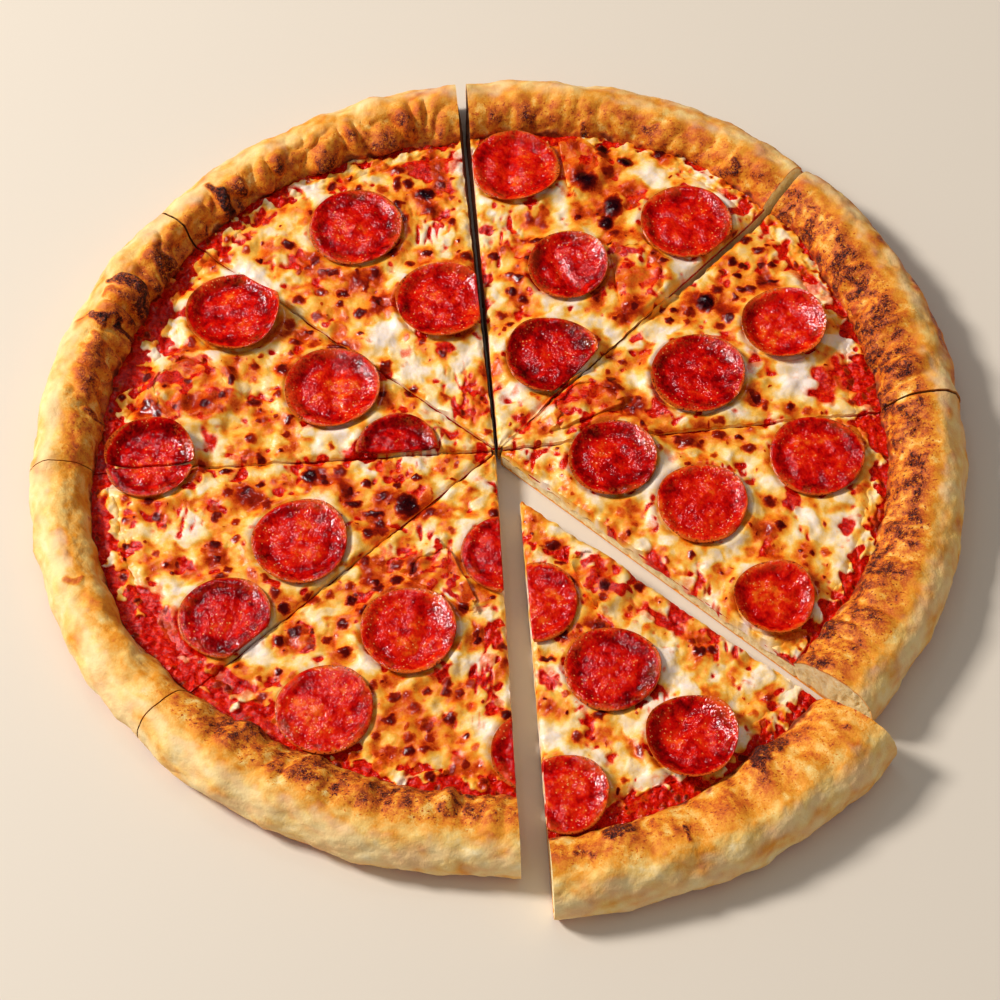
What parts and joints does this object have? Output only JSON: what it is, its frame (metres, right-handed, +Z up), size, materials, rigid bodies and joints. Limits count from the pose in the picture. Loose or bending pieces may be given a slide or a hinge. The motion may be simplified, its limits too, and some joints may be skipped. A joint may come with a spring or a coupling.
{
  "type": "pepperoni pizza",
  "caption": "Round baked pepperoni pizza cut into slices, with a slice slid a little way out, a puffed rim, tomato sauce, browned melted cheese and curled pepperoni.",
  "frame": {"origin": "centre of the bounding box, at the level of the flat underside", "axes": "+Z up out of the topping side; -Y towards the viewer of the picture, where the slid slice lies; +X to the viewer's right"},
  "size_m": [0.3546, 0.37, 0.0234],
  "materials": {
    "crust": "dry matt baked dough, golden tan with floury pale patches, brown spots and dark blisters",
    "sauce": "wet glossy cooked tomato sauce with fine pulp grain",
    "cheese": "oily melted cheese, cream white to golden yellow with brown blister spots",
    "pepperoni": "greasy bright red cured sausage with orange flecks of fat and a darker curled edge"
  },
  "bodies": {
    "root": {"cheese_1": "cheese", "cheese_2": "cheese", "cheese_3": "cheese", "cheese_4": "cheese", "cheese_5": "cheese", "cheese_6": "cheese", "cheese_7": "cheese", "cheese_8": "cheese", "crust_1": "crust", "crust_2": "crust", "crust_3": "crust", "crust_4": "crust", "crust_5": "crust", "crust_6": "crust", "crust_7": "crust", "crust_8": "crust", "pepperoni_1a": "pepperoni", "pepperoni_1b": "pepperoni", "pepperoni_1c": "pepperoni", "pepperoni_1d": "pepperoni", "pepperoni_1e": "pepperoni", "pepperoni_1f": "pepperoni", "pepperoni_2a": "pepperoni", "pepperoni_2b": "pepperoni", "pepperoni_2c": "pepperoni", "pepperoni_3a": "pepperoni", "pepperoni_3b": "pepperoni", "pepperoni_3c": "pepperoni", "pepperoni_3d": "pepperoni", "pepperoni_4a": "pepperoni", "pepperoni_4b": "pepperoni", "pepperoni_4c": "pepperoni", "pepperoni_4d": "pepperoni", "pepperoni_4e": "pepperoni", "pepperoni_5a": "pepperoni", "pepperoni_5b": "pepperoni", "pepperoni_5c": "pepperoni", "pepperoni_5d": "pepperoni", "pepperoni_5e": "pepperoni", "pepperoni_6a": "pepperoni", "pepperoni_6b": "pepperoni", "pepperoni_6c": "pepperoni", "pepperoni_7a": "pepperoni", "pepperoni_7b": "pepperoni", "pepperoni_7c": "pepperoni", "pepperoni_7d": "pepperoni", "pepperoni_7e": "pepperoni", "pepperoni_8a": "pepperoni", "pepperoni_8b": "pepperoni", "sauce_1": "sauce", "sauce_2": "sauce", "sauce_3": "sauce", "sauce_4": "sauce", "sauce_5": "sauce", "sauce_6": "sauce", "sauce_7": "sauce", "sauce_8": "sauce"}
  },
  "joints": []
}
